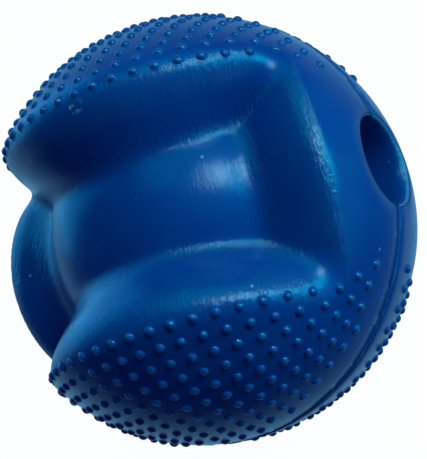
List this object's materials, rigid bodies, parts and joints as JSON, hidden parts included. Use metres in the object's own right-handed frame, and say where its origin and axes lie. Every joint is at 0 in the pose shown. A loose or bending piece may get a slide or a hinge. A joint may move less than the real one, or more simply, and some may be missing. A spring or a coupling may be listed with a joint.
{
  "type": "hollow grip ball",
  "caption": "Hollow blue rubber squeeze ball in two bonded halves, with a smooth grip recess in each half, nubbed cheeks and a round hole on the seam.",
  "frame": {"origin": "centre of the ball", "axes": "+X out of the hole along its axis, +Y to the left cheek, +Z square to the parting plane, out of the upper grip recess"},
  "size_m": [0.0647, 0.0654, 0.0558],
  "materials": {
    "skin": "smooth satin-gloss moulded rubber, royal blue, lightly scuffed on the rims",
    "nubs": "the same rubber, polished a little paler on the tips",
    "seam": "thin, slightly pale bond line with a trimmed flash edge"
  },
  "bodies": {
    "root": {"upper_half": "skin", "lower_half": "skin", "bond_seam": "seam", "upper_left_nubs": "nubs", "upper_right_nubs": "nubs", "lower_left_nubs": "nubs", "lower_right_nubs": "nubs"}
  },
  "joints": []
}
